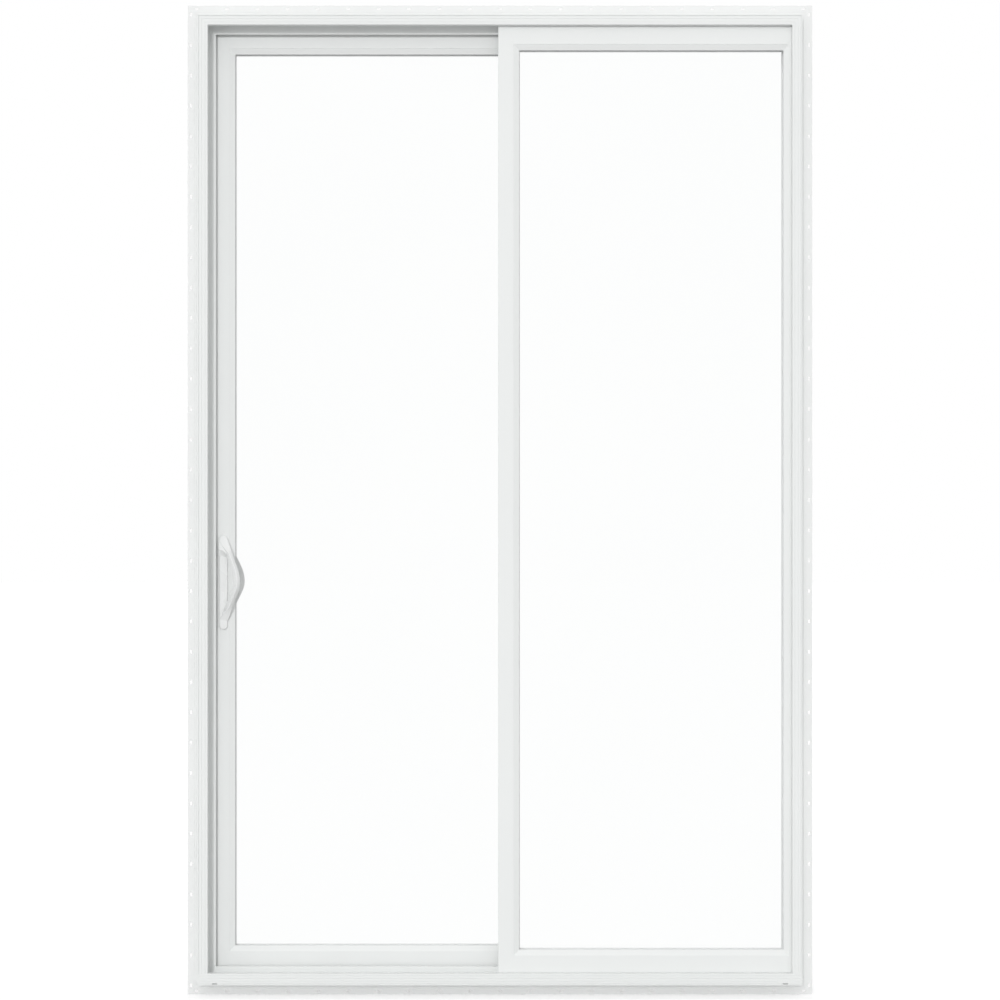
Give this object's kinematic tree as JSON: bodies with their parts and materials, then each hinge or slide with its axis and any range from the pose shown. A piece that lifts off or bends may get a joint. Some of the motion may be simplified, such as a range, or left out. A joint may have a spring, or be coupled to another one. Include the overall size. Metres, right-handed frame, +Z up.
{
  "type": "two-panel glass sliding patio door",
  "caption": "White vinyl sliding patio door with one fixed and one sliding glass panel, pull handles inside and out, and a slotted nail fin round the frame.",
  "frame": {"origin": "middle of the sill on the underside of the frame, in the back face of the nail fin", "axes": "+X to the right seen from outside, along the slide; +Y through the wall towards the room; +Z up"},
  "size_m": [1.5686, 0.1445, 2.4829],
  "materials": {
    "frame_vinyl": "satin white extruded vinyl",
    "fin_vinyl": "satin white extruded vinyl",
    "bead_vinyl": "satin white extruded vinyl",
    "glass": "clear float glass",
    "spacer": "grey foam spacer with a dark seal",
    "hardware_white": "white powder coat on die cast zinc",
    "steel": "stainless",
    "track_aluminium": "mill finish, worn bright on top",
    "roller_nylon": "moulded nylon",
    "stop_rubber": "moulded rubber"
  },
  "bodies": {
    "frame": {"head_frame": "frame_vinyl", "sill_frame": "frame_vinyl", "jamb_left": "frame_vinyl", "jamb_right": "frame_vinyl", "nail_fin_top": "fin_vinyl", "nail_fin_bottom": "fin_vinyl", "nail_fin_left": "fin_vinyl", "nail_fin_right": "fin_vinyl", "sill_track_rail": "track_aluminium", "travel_stop": "stop_rubber", "strike_keeper": "steel", "fixed_interlock_stile": "frame_vinyl", "fixed_jamb_stile": "frame_vinyl", "fixed_top_rail": "frame_vinyl", "fixed_bottom_rail": "frame_vinyl", "fixed_bead_top": "bead_vinyl", "fixed_bead_bottom": "bead_vinyl", "fixed_bead_left": "bead_vinyl", "fixed_bead_right": "bead_vinyl", "fixed_outer_pane": "glass", "fixed_inner_pane": "glass", "fixed_glass_spacer": "spacer"},
    "sliding_panel": {"slide_lock_stile": "frame_vinyl", "slide_interlock_stile": "frame_vinyl", "slide_top_rail": "frame_vinyl", "slide_bottom_rail": "frame_vinyl", "slide_bead_top": "bead_vinyl", "slide_bead_bottom": "bead_vinyl", "slide_bead_left": "bead_vinyl", "slide_bead_right": "bead_vinyl", "slide_outer_pane": "glass", "slide_inner_pane": "glass", "slide_glass_spacer": "spacer", "handle_outside": "hardware_white", "handle_inside": "hardware_white", "thumb_latch": "hardware_white", "lock_face_plate": "steel", "roller_wheels": "roller_nylon", "roller_carriages": "steel"}
  },
  "joints": [
    {"name": "panel_slide", "type": "slide", "parent": "frame", "child": "sliding_panel", "axis": [1, 0, 0], "range_m": [0, 0.635]}
  ]
}
